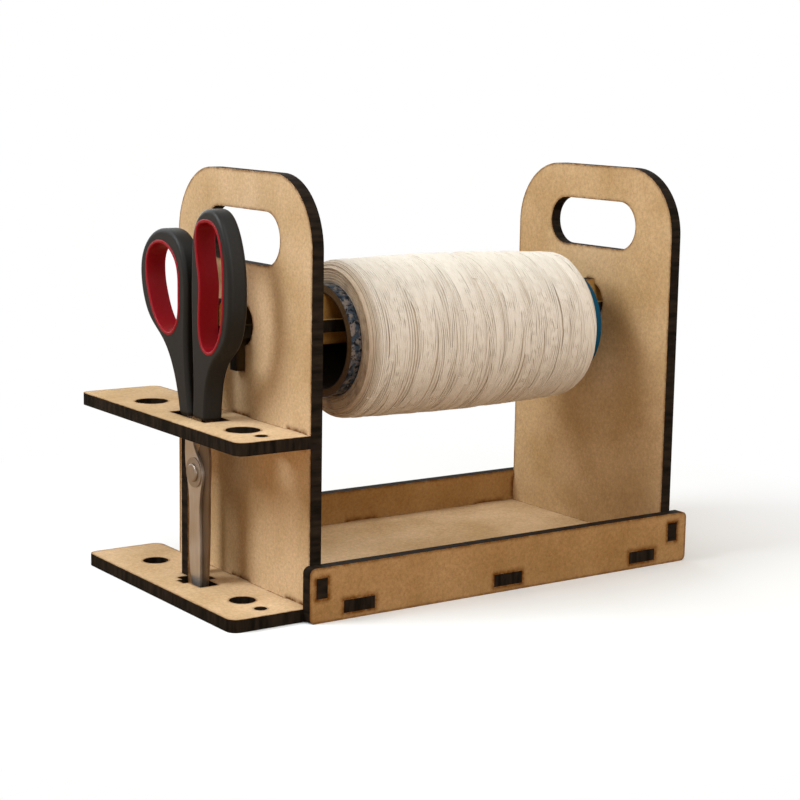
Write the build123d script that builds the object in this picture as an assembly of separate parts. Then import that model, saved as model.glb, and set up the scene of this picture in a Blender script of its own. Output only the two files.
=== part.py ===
"""Thread rack: a laser-cut fibreboard stand that carries a spool of yarn on a removable axle,
with two tool shelves on its left panel that hold a pair of scissors.

Millimetres, +Z up. The rack's length runs along X, the front rail faces -Y. Sizes are worked out
from the left panel's outer face (X = 0), the panels' front edges (Y = 0) and the table (Z = 0),
and the whole rack is moved at the end so that the origin is the bottom centre of its outer box.
"""

from build123d import *
import os

# Sheet and rack
sheet = 6.0
rack_length = 220.0
panel_depth = 125.0
panel_height = 202.0
panel_corner_radius = 33.5
fit_gap = 0.05
overrun = 5.0

# Handle slots at the top of the side panels
grip_length = 69.0
grip_height = 25.0
grip_below_top = 30.5

# Rails, and the tabs that pass through them
rail_height = 26.0
rail_overhang_left = 3.5
rail_overhang_right = 6.5
back_rail_inset_left = 3.4
rail_corner_radius = 3.0
panel_tab_height = 9.5
panel_tab_bottom = 11.5

# Tray floor between the panels
tray_bottom = 3.0
tray_tab_length = 17.0
tray_tab_count = 3
tray_tab_inset = 9.0

# Tool shelves on the left panel
upper_shelf_projection = 37.5
lower_shelf_projection = 40.5
upper_shelf_depth = 160.0
lower_shelf_depth = 147.0
upper_shelf_top = 86.0
shelf_corner_radius = 5.0
shelf_tab_length = 15.0
shelf_tab_count = 3
shelf_tab_inset = 5.0
upper_hole_radius = 8.0
lower_hole_radius = 6.2
pin_hole_radius = 3.0
hole_line_from_panel = 19.0
front_hole_from_front = 28.0
back_hole_from_back_upper = 42.0
back_hole_from_back_lower = 32.5
pin_hole_from_front = 11.4

# Slots for the scissors in the shelves
slot_outer_from_panel = 25.2
upper_slot_width = 13.2
upper_slot_front = 52.4
upper_slot_length = 34.6
lower_slot_width = 10.0
lower_slot_front = 57.3
lower_slot_length = 22.7
cross_arm_length = 17.0
cross_arm_width = 6.6
cross_arm_front = 68.3
cross_arm_outer_from_panel = 28.0

# Post between the shelves
post_width = 9.5
post_outer_from_panel = 19.5

# Axle of two interlocked strips
axle_height = 127.0
axle_end_outside = 14.0
axle_arm_above = 15.0
axle_arm_below = 9.5
axle_strip_width = 17.0
axle_end_radius = 4.0
keel_depth = 9.7
keel_outside = 4.5
keel_inside = 1.5
axle_hole_radius = 10.4
axle_hole_lift = 2.5
axle_slot_gap = 0.15
slit_gap = 0.05

# Spool of yarn
core_inner_radius = 23.3
core_wall = 4.0
paper_thickness = 0.4
core_left_gap = 38.0
core_right_gap = 15.0
spool_gap = 0.15
yarn_gap = 0.05
bare_core_left = 5.0
bare_core_right = 9.0
winding_left_radius = 38.6
winding_middle_radius = 39.9
winding_right_radius = 37.6
winding_edge_radius = 5.0

# Scissors, standing tip down in the slots with their plane parallel to the panel
scissors_from_panel = 19.8
tip_height = 0.3
blade_thickness = 1.3
blade_gap = 0.05
handle_thickness = 9.8
handle_edge_radius = 2.2
handle_rest_gap = 0.1
handle_corner_radius = 2.0
tang_length = 26.0
liner_thickness = 1.6
liner_proud = 0.3
liner_edge_radius = 0.45
small_handle_start = 67.7
small_handle_width = 48.9
small_handle_height = 85.4
large_handle_start = 30.1
large_handle_width = 35.4
large_handle_height = 98.6
blade_start = 53.8
blade_spread = 26.0
blade_reach = 85.7
small_tang_start = 73.3
small_tang_width = 2.7
large_tang_start = 57.5
large_tang_width = 4.0
pivot_spread_share = 0.631
pivot_reach_share = 0.685
pivot_hole_radius = 2.0
shank_radius = 1.95
pivot_head_radius = 4.4
pivot_head_thickness = 1.2
head_dome_share = 0.7
washer_radius = 7.2
washer_thickness = 0.6
nut_radius = 3.6
nut_sides = 6
nut_thickness = 2.0

# Outlines of the handles, as shares of each handle's width and height from its front bottom corner.
# The finger openings run counterclockwise.
small_handle_shares = [
    (0.235, 0.00),
    (0.255, 0.05),
    (0.37, 0.235),
    (0.57, 0.385),
    (0.86, 0.505),
    (1.02, 0.67),
    (1.02, 0.845),
    (0.85, 0.965),
    (0.57, 1.018),
    (0.31, 0.985),
    (0.14, 0.85),
    (0.10, 0.48),
    (0.035, 0.09),
    (0.00, 0.00),
]
small_finger_shares = [
    (0.92, 0.79),
    (0.785, 0.926),
    (0.615, 0.952),
    (0.43, 0.93),
    (0.25, 0.83),
    (0.215, 0.66),
    (0.25, 0.51),
    (0.41, 0.43),
    (0.68, 0.48),
    (0.87, 0.65),
]
large_handle_shares = [
    (1.03, 0.00),
    (1.045, 0.42),
    (1.045, 0.77),
    (0.96, 0.92),
    (0.76, 0.99),
    (0.45, 0.997),
    (0.14, 0.875),
    (0.00, 0.61),
    (0.05, 0.465),
    (0.20, 0.36),
    (0.41, 0.295),
    (0.58, 0.20),
    (0.66, 0.03),
    (0.67, 0.00),
]
large_finger_shares = [
    (0.93, 0.874),
    (0.84, 0.937),
    (0.66, 0.955),
    (0.425, 0.94),
    (0.215, 0.827),
    (0.17, 0.597),
    (0.28, 0.40),
    (0.545, 0.322),
    (0.71, 0.332),
    (0.845, 0.43),
    (0.83, 0.642),
]

# Blade outlines, as shares of the blades' spread in depth and of their reach above the tip
outer_blade_back_shares = [
    (0.85, 1.00),
    (0.985, 0.84),
    (0.985, 0.76),
    (0.93, 0.66),
    (0.86, 0.58),
    (0.83, 0.34),
    (0.73, 0.05),
]
outer_blade_front_shares = [
    (0.43, 0.05),
    (0.43, 0.36),
    (0.4, 0.59),
    (0.34, 0.7),
    (0.45, 0.76),
    (0.61, 0.81),
    (0.7, 0.87),
    (0.72, 1.00),
]
inner_blade_back_shares = [
    (0.32, 1.00),
    (0.43, 0.885),
    (0.62, 0.79),
    (0.77, 0.72),
    (0.79, 0.6),
    (0.76, 0.35),
    (0.66, 0.05),
]
inner_blade_front_shares = [
    (0.27, 0.06),
    (0.2, 0.35),
    (0.18, 0.66),
    (0.17, 0.78),
    (0.2, 0.84),
    (0.12, 1.00),
]
blade_tip_shares = (0.45, 0.58)

# Places worked out from the sizes above
right_inner = rack_length - sheet
core_start = sheet + core_left_gap
core_length = right_inner - core_right_gap - core_start
winding_start = core_start + bare_core_left
winding_length = core_length - bare_core_left - bare_core_right
axle_depth = panel_depth / 2
axle_top = axle_height + axle_arm_above
arm_bottom = axle_height - axle_arm_below
core_outer_radius = core_inner_radius + core_wall
paper_radius = core_outer_radius + paper_thickness
strip_corner_drop = core_inner_radius - (core_inner_radius**2 - (sheet / 2) ** 2) ** 0.5
spool_height = axle_top + spool_gap + strip_corner_drop - core_inner_radius
keel_bottom = arm_bottom - keel_depth
slot_outer = -slot_outer_from_panel
hole_line = -hole_line_from_panel
post_front = lower_slot_front + lower_slot_length
post_outer = -post_outer_from_panel
scissors_plane = -scissors_from_panel
handle_bottom = upper_shelf_top + handle_rest_gap
pivot_depth = blade_start + blade_spread * pivot_spread_share
pivot_height = tip_height + blade_reach * pivot_reach_share
origin_x = (rack_length + axle_end_outside - lower_shelf_projection) / 2
origin_y = (upper_shelf_depth - sheet) / 2


def block(x_range, y_range, z_range):
    """Returns a box between two limits on each axis."""
    size = (x_range[1] - x_range[0], y_range[1] - y_range[0], z_range[1] - z_range[0])
    corner = Pos(x_range[0], y_range[0], z_range[0])
    return corner * Box(*size, align=(Align.MIN, Align.MIN, Align.MIN))


def side_plate(sketch, x_start, thickness):
    """Extrudes a sketch drawn in depth and height into a plate that stands parallel to the panels."""
    return extrude(Plane(origin=(x_start, 0, 0), x_dir=(0, 1, 0), z_dir=(1, 0, 0)) * sketch, thickness)


def front_plate(sketch, y_start, thickness):
    """Extrudes a sketch drawn in length and height into a plate that stands parallel to the rails."""
    plane = Plane(origin=(0, y_start + thickness, 0), x_dir=(1, 0, 0), z_dir=(0, -1, 0))
    return extrude(plane * sketch, thickness)


def flat_plate(sketch, z_start, thickness):
    """Extrudes a sketch drawn in length and depth upward from its underside."""
    return extrude(Plane(origin=(0, 0, z_start)) * sketch, thickness)


def rectangle(first_range, second_range):
    """Returns a rectangle sketch between two limits on each of its axes."""
    width = first_range[1] - first_range[0]
    height = second_range[1] - second_range[0]
    return Pos(first_range[0] + width / 2, second_range[0] + height / 2) * Rectangle(width, height)


def rounded_at(sketch, corners, radius):
    """Fillets the corners of a sketch that lie at the given points."""
    chosen = []
    for vertex in sketch.vertices():
        place = Vector(vertex.X, vertex.Y)
        if any((place - Vector(*corner)).length < fit_gap for corner in corners):
            chosen.append(vertex)
    return fillet(chosen, radius)


def tab_ranges(edge_range, count, inset, length):
    """Returns the limits of evenly spaced tabs along an edge, the outer ones set in from its ends."""
    first = edge_range[0] + inset
    last = edge_range[1] - inset - length
    starts = [first + (last - first) * n / (count - 1) for n in range(count)]
    return [(start, start + length) for start in starts]


def widened(limits, gap):
    """Returns limits moved apart by a gap on both sides."""
    return (limits[0] - gap, limits[1] + gap)


def tray_tabs():
    return tab_ranges((sheet, right_inner), tray_tab_count, tray_tab_inset, tray_tab_length)


def shelf_tabs():
    return tab_ranges((0, panel_depth), shelf_tab_count, shelf_tab_inset, shelf_tab_length)


def axle_opening():
    """Keyhole that the crossed strips pass through: a round hole with an upright slot for the keel."""
    hole = Pos(axle_depth, axle_height + axle_hole_lift) * Circle(axle_hole_radius)
    half_slot = sheet / 2 + axle_slot_gap
    slot = rectangle(
        (axle_depth - half_slot, axle_depth + half_slot),
        (keel_bottom - axle_slot_gap, axle_top + axle_slot_gap),
    )
    return hole + slot


def side_panel(x_start, tab_end):
    """Panel with rounded shoulders, a handle slot, the axle's keyhole and tabs from the front rail on."""
    top_corners = [(0, panel_height), (panel_depth, panel_height)]
    body = rounded_at(rectangle((0, panel_depth), (0, panel_height)), top_corners, panel_corner_radius)
    tab_heights = (panel_tab_bottom, panel_tab_bottom + panel_tab_height)
    body += rectangle((-sheet, tab_end), tab_heights)
    grip = SlotOverall(grip_length, grip_height)
    body -= Pos(panel_depth / 2, panel_height - grip_below_top) * grip
    body -= axle_opening()
    return side_plate(body, x_start, sheet)


def left_side_panel():
    """Panel that carries the shelves; the back rail is glued to its plain back edge."""
    panel = side_panel(0, panel_depth)
    for limits in shelf_tabs():
        for top in (sheet, upper_shelf_top):
            heights = widened((top - sheet, top), fit_gap)
            panel -= block((-overrun, sheet + overrun), widened(limits, fit_gap), heights)
    return panel


def right_side_panel():
    return side_panel(right_inner, panel_depth + sheet)


def rail(left_end, panel_starts, y_start):
    """Rail with rounded ends, and slots for the tabs of some panels and of the tray."""
    ends = (left_end, rack_length + rail_overhang_right)
    corners = [(x, z) for x in ends for z in (0, rail_height)]
    sketch = rounded_at(rectangle(ends, (0, rail_height)), corners, rail_corner_radius)
    tab_heights = widened((panel_tab_bottom, panel_tab_bottom + panel_tab_height), fit_gap)
    for panel_start in panel_starts:
        sketch -= rectangle(widened((panel_start, panel_start + sheet), fit_gap), tab_heights)
    tray_heights = widened((tray_bottom, tray_bottom + sheet), fit_gap)
    for limits in tray_tabs():
        sketch -= rectangle(widened(limits, fit_gap), tray_heights)
    return front_plate(sketch, y_start, sheet)


def front_rail():
    return rail(-rail_overhang_left, (0, right_inner), -sheet)


def back_rail():
    """Rail that stops behind the left panel's back edge."""
    return rail(back_rail_inset_left, (right_inner,), panel_depth)


def tray_floor():
    sketch = rectangle((sheet, right_inner), (0, panel_depth))
    for limits in tray_tabs():
        sketch += rectangle(limits, (-sheet, panel_depth + sheet))
    return flat_plate(sketch, tray_bottom, sheet)


def shelf_outline(projection, depth, inner_end):
    """Shelf beside the panel with tabs through it; behind the panel it reaches as far as inner_end."""
    outer = -projection
    sketch = rectangle((outer, 0), (0, panel_depth)) + rectangle((outer, inner_end), (panel_depth, depth))
    corners = [(outer, 0), (outer, depth), (inner_end, depth)]
    sketch = rounded_at(sketch, corners, shelf_corner_radius)
    for limits in shelf_tabs():
        sketch += rectangle((0, sheet), limits)
    return sketch


def post_section(gap):
    """Cross-section of the post, widened by a gap for its mortises."""
    return rectangle(
        widened((post_outer, post_outer + post_width), gap),
        widened((post_front, post_front + sheet), gap),
    )


def tool_holes(depth, radius, back_hole_from_back):
    holes = Pos(hole_line, front_hole_from_front) * Circle(radius)
    holes += Pos(hole_line, depth - back_hole_from_back) * Circle(radius)
    holes += Pos(hole_line, pin_hole_from_front) * Circle(pin_hole_radius)
    return holes


def upper_tool_shelf():
    sketch = shelf_outline(upper_shelf_projection, upper_shelf_depth, sheet)
    sketch -= tool_holes(upper_shelf_depth, upper_hole_radius, back_hole_from_back_upper)
    sketch -= rectangle(
        (slot_outer, slot_outer + upper_slot_width),
        (upper_slot_front, upper_slot_front + upper_slot_length),
    )
    sketch -= post_section(fit_gap)
    return flat_plate(sketch, upper_shelf_top - sheet, sheet)


def lower_tool_shelf():
    sketch = shelf_outline(lower_shelf_projection, lower_shelf_depth, 0)
    sketch -= tool_holes(lower_shelf_depth, lower_hole_radius, back_hole_from_back_lower)
    sketch -= rectangle(
        (slot_outer, slot_outer + lower_slot_width),
        (lower_slot_front, lower_slot_front + lower_slot_length),
    )
    arm_outer = -cross_arm_outer_from_panel
    sketch -= rectangle(
        (arm_outer, arm_outer + cross_arm_length),
        (cross_arm_front, cross_arm_front + cross_arm_width),
    )
    sketch -= post_section(fit_gap)
    return flat_plate(sketch, 0, sheet)


def shelf_post():
    return extrude(post_section(0), upper_shelf_top)


def axle_vertical_strip():
    """Upright strip: a keel at each panel, and a slit along its right half for the flat strip."""
    left = -axle_end_outside
    right = rack_length + axle_end_outside
    sketch = rectangle((left, right), (axle_height - sheet / 2, axle_top))
    sketch = rounded_at(sketch, [(left, axle_top), (right, axle_top)], axle_end_radius)
    keel_left = -keel_outside
    keel_right = rack_length + keel_outside
    sketch += rectangle((keel_left, keel_right), (arm_bottom, axle_height))
    keel_length = keel_outside + sheet + keel_inside
    for limits in ((keel_left, keel_left + keel_length), (keel_right - keel_length, keel_right)):
        sketch += rectangle(limits, (keel_bottom, axle_height))
    half_slit = sheet / 2 + slit_gap
    slit_heights = (axle_height - half_slit, axle_height + half_slit)
    sketch -= rectangle((rack_length / 2, right + overrun), slit_heights)
    return front_plate(sketch, axle_depth - sheet / 2, sheet)


def axle_horizontal_strip():
    """Flat strip: a slit along its left half for the upright strip."""
    left = -axle_end_outside
    right = rack_length + axle_end_outside
    half_width = axle_strip_width / 2
    half_slit = sheet / 2 + slit_gap
    sketch = rectangle((left, right), (axle_depth - half_width, axle_depth + half_width))
    slit_end = rack_length / 2 + slit_gap
    sketch -= rectangle((left - overrun, slit_end), (axle_depth - half_slit, axle_depth + half_slit))
    return flat_plate(sketch, axle_height - sheet / 2, sheet)


def core_layer(outer_radius, inner_radius):
    """Tube as long as the core, around the spool's axis."""
    sketch = Pos(axle_depth, spool_height) * (Circle(outer_radius) - Circle(inner_radius))
    return side_plate(sketch, core_start, core_length)


def spool_core():
    return core_layer(core_outer_radius, core_inner_radius)


def core_paper():
    return core_layer(paper_radius, core_outer_radius)


def thread_winding():
    """Yarn wound on the core, fuller in the middle and slimmer at the right, with rounded edges."""
    end = winding_start + winding_length
    middle = winding_start + winding_length / 2
    first_shoulder = (winding_start, winding_left_radius)
    last_shoulder = (end, winding_right_radius)
    crown = ThreePointArc(first_shoulder, (middle, winding_middle_radius), last_shoulder)
    inner_radius = paper_radius + yarn_gap
    sides = Polyline(last_shoulder, (end, inner_radius), (winding_start, inner_radius), first_shoulder)
    profile = rounded_at(make_face(crown + sides), [first_shoulder, last_shoulder], winding_edge_radius)
    profile = Plane(origin=(0, axle_depth, spool_height), x_dir=(1, 0, 0), z_dir=(0, -1, 0)) * profile
    return revolve(profile, Axis((0, axle_depth, spool_height), (1, 0, 0)))


def placed(shares, start, width, bottom, height):
    """Turns outline shares into points of depth and height."""
    return [Vector(start + width * along, bottom + height * up) for along, up in shares]


def moved_inward(points, distance):
    """Moves the points of a counterclockwise outline toward its inside, square to the outline."""
    moved = []
    for number, point in enumerate(points):
        following = points[(number + 1) % len(points)]
        along = (following - points[number - 1]).normalized()
        moved.append(point + Vector(-along.Y, along.X) * distance)
    return moved


def closed_curve(points):
    """Returns a face bounded by one smooth closed curve."""
    return make_face(Spline(*points, periodic=True))


def handle(points, finger_points, tang):
    """Moulded handle with softened edges, a finger opening and a pocket for the blade's tang."""
    outline = make_face(Spline(*points) + Line(points[-1], points[0]))
    bottom_corners = [(point.X, point.Y) for point in (points[0], points[-1])]
    outline = rounded_at(outline, bottom_corners, handle_corner_radius)
    x_start = scissors_plane - handle_thickness / 2
    body = side_plate(outline, x_start, handle_thickness)
    sides = body.faces().sort_by(Axis.X)
    rim_edges = sides[0].edges() + sides[-1].edges()
    long_edges = [edge for edge in rim_edges if edge.length > handle_thickness * 2]
    body = fillet(long_edges, handle_edge_radius)
    body -= side_plate(closed_curve(finger_points), x_start - overrun, handle_thickness + 2 * overrun)
    return body - tang


def liner(finger_points):
    """Soft ring inside a finger opening, standing a little proud of the handle."""
    depth = handle_thickness + 2 * liner_proud
    outside = closed_curve(finger_points)
    inside = closed_curve(moved_inward(finger_points, liner_thickness))
    ring = side_plate(outside - inside, scissors_plane - depth / 2, depth)
    sides = ring.faces().sort_by(Axis.X)
    return fillet(sides[0].edges() + sides[-1].edges(), liner_edge_radius)


def blade(back_shares, front_shares, x_start, tang_start, tang_width):
    """Blade with its tang, drilled for the pivot."""
    scale = (blade_start, blade_spread, tip_height, blade_reach)
    back = placed(back_shares, *scale)
    front = placed(front_shares, *scale)
    tip = placed([(share, 0) for share in blade_tip_shares], *scale)
    outline = Spline(*back) + Polyline(back[-1], tip[1], tip[0], front[0]) + Spline(*front)
    sketch = make_face(outline + Line(front[-1], back[0]))
    stalk_top = tip_height + blade_reach
    sketch += rectangle(
        (tang_start, tang_start + tang_width),
        (stalk_top - overrun, stalk_top + tang_length),
    )
    sketch -= Pos(pivot_depth, pivot_height) * Circle(pivot_hole_radius)
    return side_plate(sketch, x_start, blade_thickness)


def disc_at_pivot(x_start, thickness, radius):
    """Round piece on the pivot's axis."""
    return side_plate(Pos(pivot_depth, pivot_height) * Circle(radius), x_start, thickness)


def pivot_screw(outer_face, inner_face):
    """Screw with a domed head outside the washer and a shank that ends in the nut."""
    head_start = outer_face - washer_thickness - pivot_head_thickness
    head = disc_at_pivot(head_start, pivot_head_thickness, pivot_head_radius)
    head = fillet(head.faces().sort_by(Axis.X)[0].edges(), pivot_head_thickness * head_dome_share)
    shank_start = outer_face - washer_thickness
    shank = disc_at_pivot(shank_start, inner_face + nut_thickness - shank_start, shank_radius)
    return head + shank


def ring_at_pivot(x_start, thickness, radius):
    """Washer or nut around the screw's shank."""
    return disc_at_pivot(x_start, thickness, radius) - disc_at_pivot(x_start, thickness, shank_radius)


def pivot_nut(x_start):
    """Six-sided nut around the end of the shank."""
    sketch = Pos(pivot_depth, pivot_height) * (RegularPolygon(nut_radius, nut_sides) - Circle(shank_radius))
    return side_plate(sketch, x_start, nut_thickness)


def save(solid, name):
    """Moves a sub-part to the rack's origin and writes it."""
    os.makedirs("parts", exist_ok=True)
    export_step(Pos(-origin_x, -origin_y, 0) * solid, f"parts/{name}.step")


save(left_side_panel(), "left_side_panel")
save(right_side_panel(), "right_side_panel")
save(front_rail(), "front_rail")
save(back_rail(), "back_rail")
save(tray_floor(), "tray_floor")
save(upper_tool_shelf(), "upper_tool_shelf")
save(lower_tool_shelf(), "lower_tool_shelf")
save(shelf_post(), "shelf_post")
save(axle_vertical_strip(), "axle_vertical_strip")
save(axle_horizontal_strip(), "axle_horizontal_strip")
save(spool_core(), "spool_core")
save(core_paper(), "core_paper")
save(thread_winding(), "thread_winding")

outer_face = scissors_plane - blade_gap / 2 - blade_thickness
inner_face = scissors_plane + blade_gap / 2 + blade_thickness
outer_blade = blade(
    outer_blade_back_shares,
    outer_blade_front_shares,
    outer_face,
    small_tang_start,
    small_tang_width,
)
inner_blade = blade(
    inner_blade_back_shares,
    inner_blade_front_shares,
    inner_face - blade_thickness,
    large_tang_start,
    large_tang_width,
)
save(outer_blade, "outer_blade")
save(inner_blade, "inner_blade")

small_box = (small_handle_start, small_handle_width, handle_bottom, small_handle_height)
small_finger = placed(small_finger_shares, *small_box)
save(handle(placed(small_handle_shares, *small_box), small_finger, outer_blade), "small_handle")
save(liner(small_finger), "small_handle_liner")

large_box = (large_handle_start, large_handle_width, handle_bottom, large_handle_height)
large_finger = placed(large_finger_shares, *large_box)
save(handle(placed(large_handle_shares, *large_box), large_finger, inner_blade), "large_handle")
save(liner(large_finger), "large_handle_liner")

save(pivot_screw(outer_face, inner_face), "pivot_screw")
save(ring_at_pivot(outer_face - washer_thickness, washer_thickness, washer_radius), "pivot_washer")
save(pivot_nut(inner_face), "pivot_nut")
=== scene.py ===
"""Looks of a thread rack: laser-cut fibreboard plates, a spool of cotton yarn and a pair of scissors.

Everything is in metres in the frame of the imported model. The plates, the core, the blades and the
handles are the model's own nodes with better finishes. The yarn is wound here, thread by thread.
"""

from __future__ import annotations

import logging
import math
from dataclasses import asdict, dataclass, field
from enum import Enum, IntEnum
from typing import Any

import bpy
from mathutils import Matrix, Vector

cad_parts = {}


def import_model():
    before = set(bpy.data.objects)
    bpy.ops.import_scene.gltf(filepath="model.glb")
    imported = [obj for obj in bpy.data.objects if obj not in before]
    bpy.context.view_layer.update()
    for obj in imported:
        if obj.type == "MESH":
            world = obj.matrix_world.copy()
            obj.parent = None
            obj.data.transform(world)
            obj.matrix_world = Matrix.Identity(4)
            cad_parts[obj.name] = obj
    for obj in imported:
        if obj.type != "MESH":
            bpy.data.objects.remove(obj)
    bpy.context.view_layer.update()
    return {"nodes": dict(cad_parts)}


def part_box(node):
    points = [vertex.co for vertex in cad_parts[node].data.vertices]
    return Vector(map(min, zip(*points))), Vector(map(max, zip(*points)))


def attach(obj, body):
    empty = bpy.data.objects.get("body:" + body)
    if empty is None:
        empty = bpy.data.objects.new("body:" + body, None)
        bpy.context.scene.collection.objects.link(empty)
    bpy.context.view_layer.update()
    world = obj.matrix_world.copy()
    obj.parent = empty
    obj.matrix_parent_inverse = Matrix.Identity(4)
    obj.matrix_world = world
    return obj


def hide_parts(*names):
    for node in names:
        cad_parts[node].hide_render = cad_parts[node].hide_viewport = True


LOG = logging.getLogger("thread_rack")
MM = 0.001
WHITE = (1.0, 1.0, 1.0)
# Where nearly all values of noise lie.
NOISE_SPAN = (0.3, 0.7)

Triple = tuple[float, float, float]
# Features per metre and, where they aren't 3 and 0.5, the layers of detail and their roughness.
Noise = tuple[float, ...]
# Low, high and, where they aren't 0 and 1, what those two become.
Range = tuple[float, ...]
# Input name or number to a value, or to the signal that feeds it.
Inputs = dict[Any, Any]


class SheetAxis(Enum):
    """The direction that a flat plate's two faces look along."""

    LENGTH = (1.0, 0.0, 0.0)
    DEPTH = (0.0, 1.0, 0.0)
    HEIGHT = (0.0, 0.0, 1.0)


class Salt(IntEnum):
    """Keeps the random values of one thread or bundle apart."""

    JITTER = 3
    RING_SWAY = 4
    SLANT = 5
    RING_BULGE = 6
    RING_PHASE = 8
    BUNDLE_LEVEL = 9
    PHASE = 11
    THREAD_LEVEL = 17


@dataclass(frozen=True)
class Signal:
    """A node's output that adds and multiplies as a number does, by way of Math nodes."""

    graph: Graph
    socket: bpy.types.NodeSocket

    def __add__(self, other: Any) -> Signal:
        """Adds a number or a signal."""
        return self.graph.math("ADD", self, other)

    def __sub__(self, other: Any) -> Signal:
        """Takes away a number or a signal."""
        return self.graph.math("SUBTRACT", self, other)

    def __mul__(self, other: Any) -> Signal:
        """Multiplies by a number or a signal."""
        return self.graph.math("MULTIPLY", self, other)

    def __truediv__(self, other: Any) -> Signal:
        """Divides by a number or a signal."""
        return self.graph.math("DIVIDE", self, other)


class Graph:
    """A node tree with short ways to add nodes and to join their sockets."""

    def __init__(self, tree: bpy.types.NodeTree) -> None:
        """Keeps the tree and empties it.

        Args:
            tree: the node tree to fill.
        """
        self.tree = tree
        self.tree.nodes.clear()

    def node(self, kind: str, inputs: Inputs | None = None, **settings: Any) -> bpy.types.Node:
        """Adds a node, sets it up and feeds its inputs.

        Args:
            kind: Blender's name of the node type.
            inputs: what feeds it.
            settings: attributes of the node.

        Returns:
            The new node.
        """
        made = self.tree.nodes.new(kind)
        for name, value in settings.items():
            setattr(made, name, value)
        for key, value in (inputs or {}).items():
            socket = made.inputs[key]
            if isinstance(value, Signal):
                self.tree.links.new(value.socket, socket)
            elif socket.type == "RGBA":
                socket.default_value = (*value, 1.0)
            else:
                socket.default_value = value
        return made

    def take(self, kind: str, inputs: Inputs | None = None, output: Any = 0, **settings: Any) -> Signal:
        """Adds a node and returns one of its outputs.

        Args:
            kind: Blender's name of the node type.
            inputs: what feeds it.
            output: name or number of the output wanted.
            settings: attributes of the node.

        Returns:
            The output.
        """
        return Signal(self, self.node(kind, inputs, **settings).outputs[output])

    def math(self, operation: str, *values: Any, clamp: bool = False) -> Signal:
        """Adds one step of arithmetic.

        Args:
            operation: the Math node's operation.
            values: its inputs, numbers or signals.
            clamp: whether the result is kept between 0 and 1.

        Returns:
            The result.
        """
        return self.take("ShaderNodeMath", dict(enumerate(values)), operation=operation, use_clamp=clamp)

    def vector(self, operation: str, *values: Any) -> Signal:
        """Adds one step of vector arithmetic.

        Args:
            operation: the Vector Math node's operation.
            values: its inputs, vectors or signals.

        Returns:
            The result, a number for a length or a dot product.
        """
        output = "Value" if operation in ("DOT_PRODUCT", "LENGTH") else "Vector"
        return self.take("ShaderNodeVectorMath", dict(enumerate(values)), output, operation=operation)

    def remap(self, value: Signal, low: float, high: float, to_low: float = 0, to_high: float = 1) -> Signal:
        """Maps one range onto another, without going past its ends.

        Args:
            value: the signal to map.
            low: start of the range that comes in.
            high: end of the range that comes in.
            to_low: what the start becomes.
            to_high: what the end becomes.

        Returns:
            The result.
        """
        inputs = {"Value": value, "From Min": low, "From Max": high, "To Min": to_low, "To Max": to_high}
        return self.take("ShaderNodeMapRange", inputs)

    def mix(self, factor: Any, first: Any, second: Any, blend: str = "MIX") -> Signal:
        """Mixes two colours.

        Args:
            factor: share of the second colour.
            first: first colour.
            second: second colour.
            blend: how the second lies over the first.

        Returns:
            The mixed colour.
        """
        inputs = {0: factor, 6: first, 7: second}
        return self.take("ShaderNodeMix", inputs, 2, data_type="RGBA", blend_type=blend)

    def noise(self, place: Signal, scale: float, detail: float = 3.0, roughness: float = 0.5) -> Signal:
        """Adds cloudy noise.

        Args:
            place: where it is read.
            scale: features per metre.
            detail: how many finer layers it has.
            roughness: how strong the finer layers are.

        Returns:
            The noise's value.
        """
        inputs = {"Vector": place, "Scale": scale, "Detail": detail, "Roughness": roughness}
        return self.take("ShaderNodeTexNoise", inputs, "Fac")

    def stretched(self, place: Signal, scale: Triple) -> Signal:
        """Scales a place, so that a pattern read there is drawn out.

        Args:
            place: the point's place.
            scale: the factor for each direction.

        Returns:
            The scaled place.
        """
        return self.take("ShaderNodeMapping", {"Vector": place, "Scale": scale})

    def bump(self, height: Signal, distance: float) -> Signal:
        """Turns a height into a normal.

        Args:
            height: the height.
            distance: how tall a height of one is, in metres.

        Returns:
            The normal.
        """
        return self.take("ShaderNodeBump", {"Height": height, "Distance": distance})


def add_object(name: str, data: bpy.types.ID) -> bpy.types.Object:
    """Puts a new object in the scene.

    Args:
        name: the object's name.
        data: its mesh, camera or light.

    Returns:
        The object.
    """
    made = bpy.data.objects.new(name, data)
    bpy.context.scene.collection.objects.link(made)
    return made


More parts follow.
